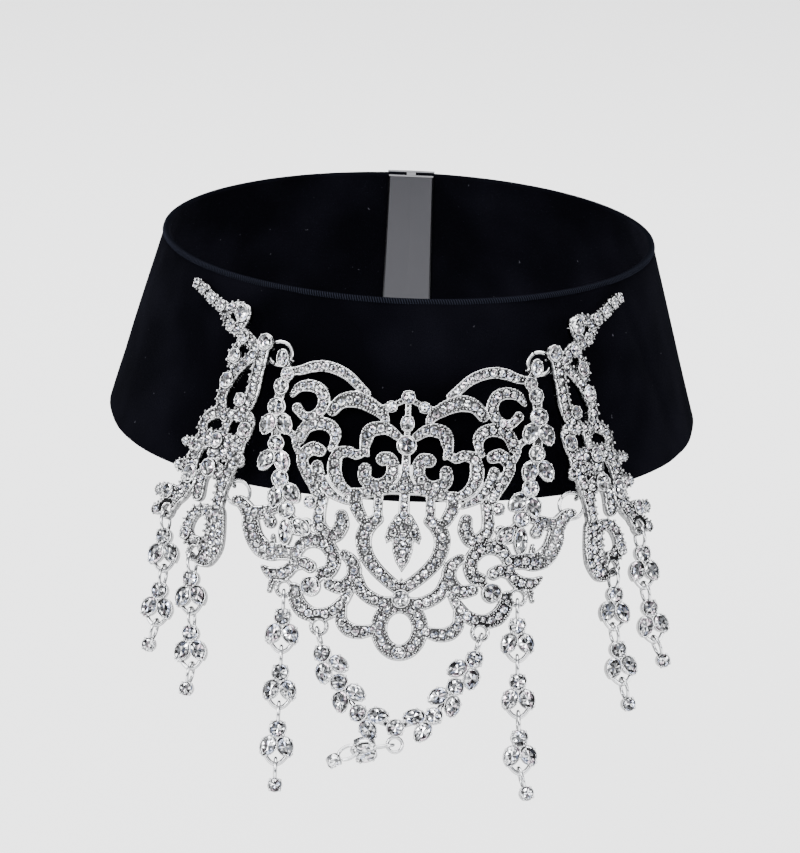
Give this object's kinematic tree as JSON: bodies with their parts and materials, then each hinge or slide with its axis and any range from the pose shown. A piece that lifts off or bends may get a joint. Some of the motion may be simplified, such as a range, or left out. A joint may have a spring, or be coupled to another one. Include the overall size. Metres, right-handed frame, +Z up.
{
  "type": "bib necklace",
  "caption": "Wide velvet neck band with a pierced scrollwork bib plate, two side plates on jump rings, hanging stone drops and a stone garland.",
  "frame": {"origin": "centre of the neck hollow, about half way up the band", "axes": "+Z up the neck, -Y towards the front where the bib plate lies, +X to the viewer's right"},
  "size_m": [0.146, 0.1778, 0.1039],
  "materials": {
    "velvet": "short black pile",
    "clasp_metal": "polished",
    "cast_alloy": "bright plated casting set with fine stones",
    "ring_wire": "polished wire",
    "set_stones": "clear cut stones in bright settings"
  },
  "bodies": {
    "root": {"velvet_band": "velvet", "band_clasp": "clasp_metal", "center_plate": "cast_alloy", "side_plate_left": "cast_alloy", "upper_ring_left": "ring_wire", "lower_ring_left": "ring_wire", "front_drop_left_1": "set_stones", "front_drop_left_2": "set_stones", "front_drop_left_3": "set_stones", "front_drop_left_end": "set_stones", "inner_drop_left_1": "set_stones", "inner_drop_left_2": "set_stones", "inner_drop_left_end": "set_stones", "outer_drop_left_1": "set_stones", "outer_drop_left_2": "set_stones", "outer_drop_left_end": "set_stones", "side_plate_right": "cast_alloy", "upper_ring_right": "ring_wire", "lower_ring_right": "ring_wire", "front_drop_right_1": "set_stones", "front_drop_right_2": "set_stones", "front_drop_right_3": "set_stones", "front_drop_right_end": "set_stones", "inner_drop_right_1": "set_stones", "inner_drop_right_2": "set_stones", "inner_drop_right_end": "set_stones", "outer_drop_right_1": "set_stones", "outer_drop_right_2": "set_stones", "outer_drop_right_end": "set_stones", "swag": "set_stones", "swag_pendant_1": "set_stones", "swag_pendant_end": "set_stones"}
  },
  "joints": []
}
